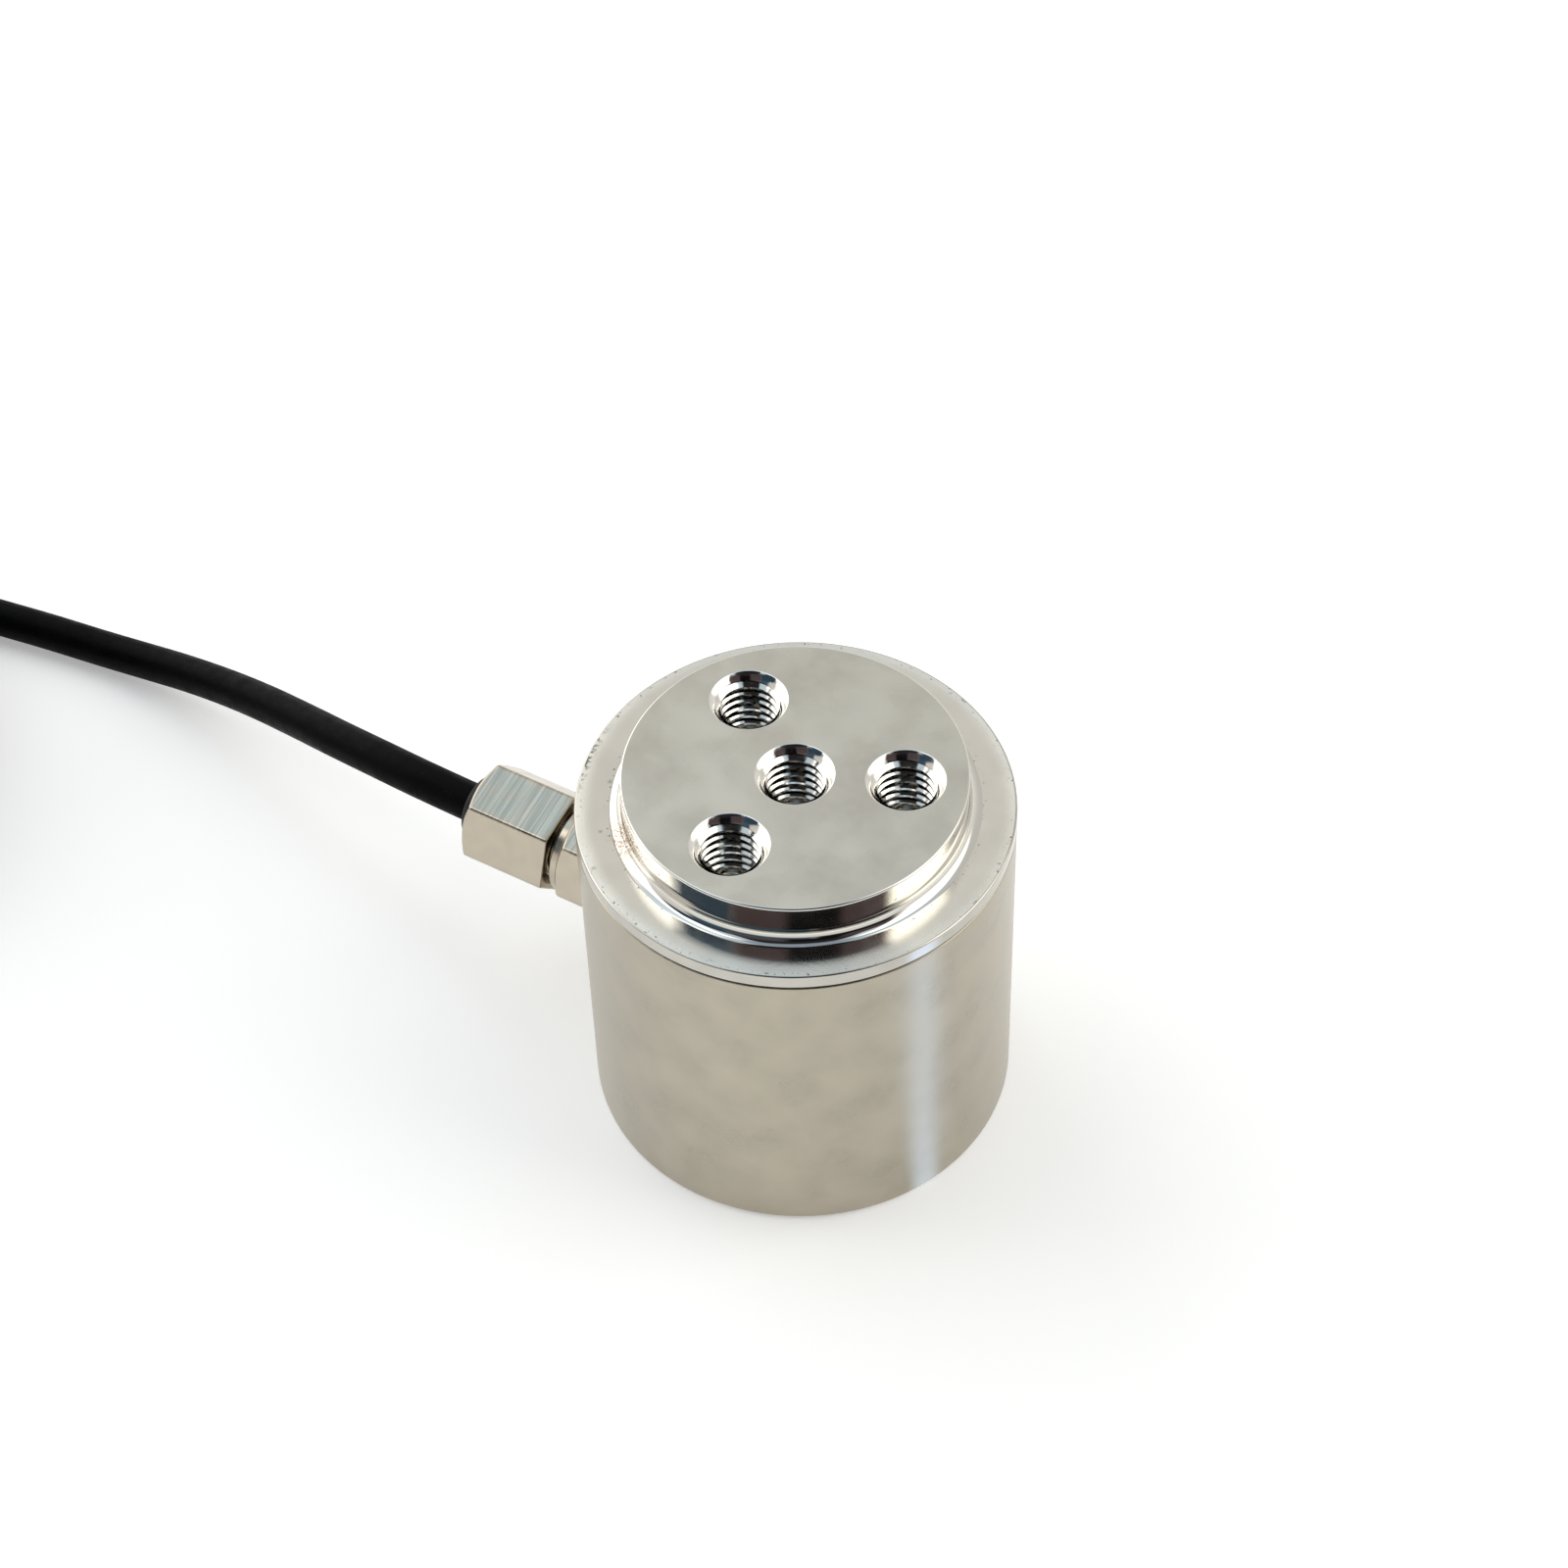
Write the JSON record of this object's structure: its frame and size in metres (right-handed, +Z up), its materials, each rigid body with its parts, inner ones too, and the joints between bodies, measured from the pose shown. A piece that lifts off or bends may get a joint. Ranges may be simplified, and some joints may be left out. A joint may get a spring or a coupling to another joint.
{
  "type": "button load cell",
  "caption": "Cylindrical steel button load cell with a raised tapped load head, coved rim, side cable gland and black cable.",
  "frame": {"origin": "centre of the base face, on the cell's own axis", "axes": "+Z up along the load axis to the tapped head; the cable gland and cable leave along -X"},
  "size_m": [0.2106, 0.0823, 0.0518],
  "materials": {
    "steel": "turned stainless steel, polished cove and rim",
    "steel_satin": "satin stainless steel",
    "nickel": "nickel-plated brass",
    "brass": "bare brass",
    "rubber": "black nitrile rubber",
    "sheath": "matte black cable sheath",
    "polyimide": "amber polyimide foil",
    "board": "green circuit board",
    "nylon": "natural nylon",
    "resistor": "coated film resistor",
    "red": "red wire insulation",
    "black": "black wire insulation",
    "green": "green wire insulation",
    "white": "white wire insulation",
    "tinned": "tinned copper wire"
  },
  "bodies": {
    "root": {"load_element": "steel", "housing_sleeve": "steel_satin", "upper_o_ring": "rubber", "lower_o_ring": "rubber", "bridge_board": "board", "zero_resistor": "resistor", "span_resistor_1": "resistor", "span_resistor_2": "resistor", "temperature_resistor": "resistor", "gland_body": "nickel", "gland_nut": "nickel", "gland_washer": "rubber", "gland_seal": "rubber", "gland_thrust_ring": "brass", "cable_run": "sheath", "cable_coil": "sheath", "cable_tail": "sheath", "cable_tie": "nylon", "strain_gauge_1": "polyimide", "gauge_terminal_1": "brass", "gauge_lead_1": "tinned", "strain_gauge_2": "polyimide", "gauge_terminal_2": "brass", "gauge_lead_2": "tinned", "strain_gauge_3": "polyimide", "gauge_terminal_3": "brass", "gauge_lead_3": "tinned", "strain_gauge_4": "polyimide", "gauge_terminal_4": "brass", "gauge_lead_4": "tinned", "board_spacer_1": "nylon", "board_spacer_2": "nylon", "board_spacer_3": "nylon", "core_red": "red", "lead_red": "red", "core_black": "black", "lead_black": "black", "core_shield": "tinned", "lead_shield": "tinned", "core_green": "green", "lead_green": "green", "core_white": "white", "lead_white": "white"}
  },
  "joints": []
}
